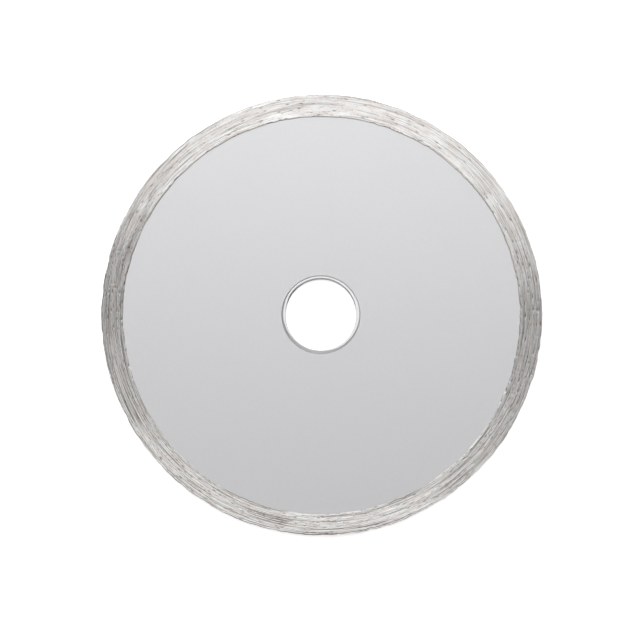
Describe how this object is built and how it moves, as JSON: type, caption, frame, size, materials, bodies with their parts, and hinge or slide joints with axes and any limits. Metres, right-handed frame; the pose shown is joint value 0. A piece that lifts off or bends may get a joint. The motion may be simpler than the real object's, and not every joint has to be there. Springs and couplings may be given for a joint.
{
  "type": "continuous rim diamond blade",
  "caption": "Flat round cutting blade: steel core with a proud sintered diamond rim keyed to its edge and a push-out reducing ring in the central bore.",
  "frame": {"origin": "centre of the bore, on the blade's mid plane", "axes": "+Z along the bore axis, out of the front face that the picture shows; +Y is up in the picture"},
  "size_m": [0.125, 0.125, 0.002],
  "materials": {
    "core_steel": "fine satin",
    "rim_bond": "ground round the rim, gritty",
    "ring_steel": "bright, with rolled edges"
  },
  "bodies": {
    "blade": {"steel_core": "core_steel", "diamond_rim": "rim_bond"},
    "ring": {"reducing_ring": "ring_steel"}
  },
  "joints": [
    {"name": "ring_push_out", "type": "slide", "parent": "blade", "child": "ring", "axis": [0, 0, 1], "range_m": [0, 0.01]}
  ]
}
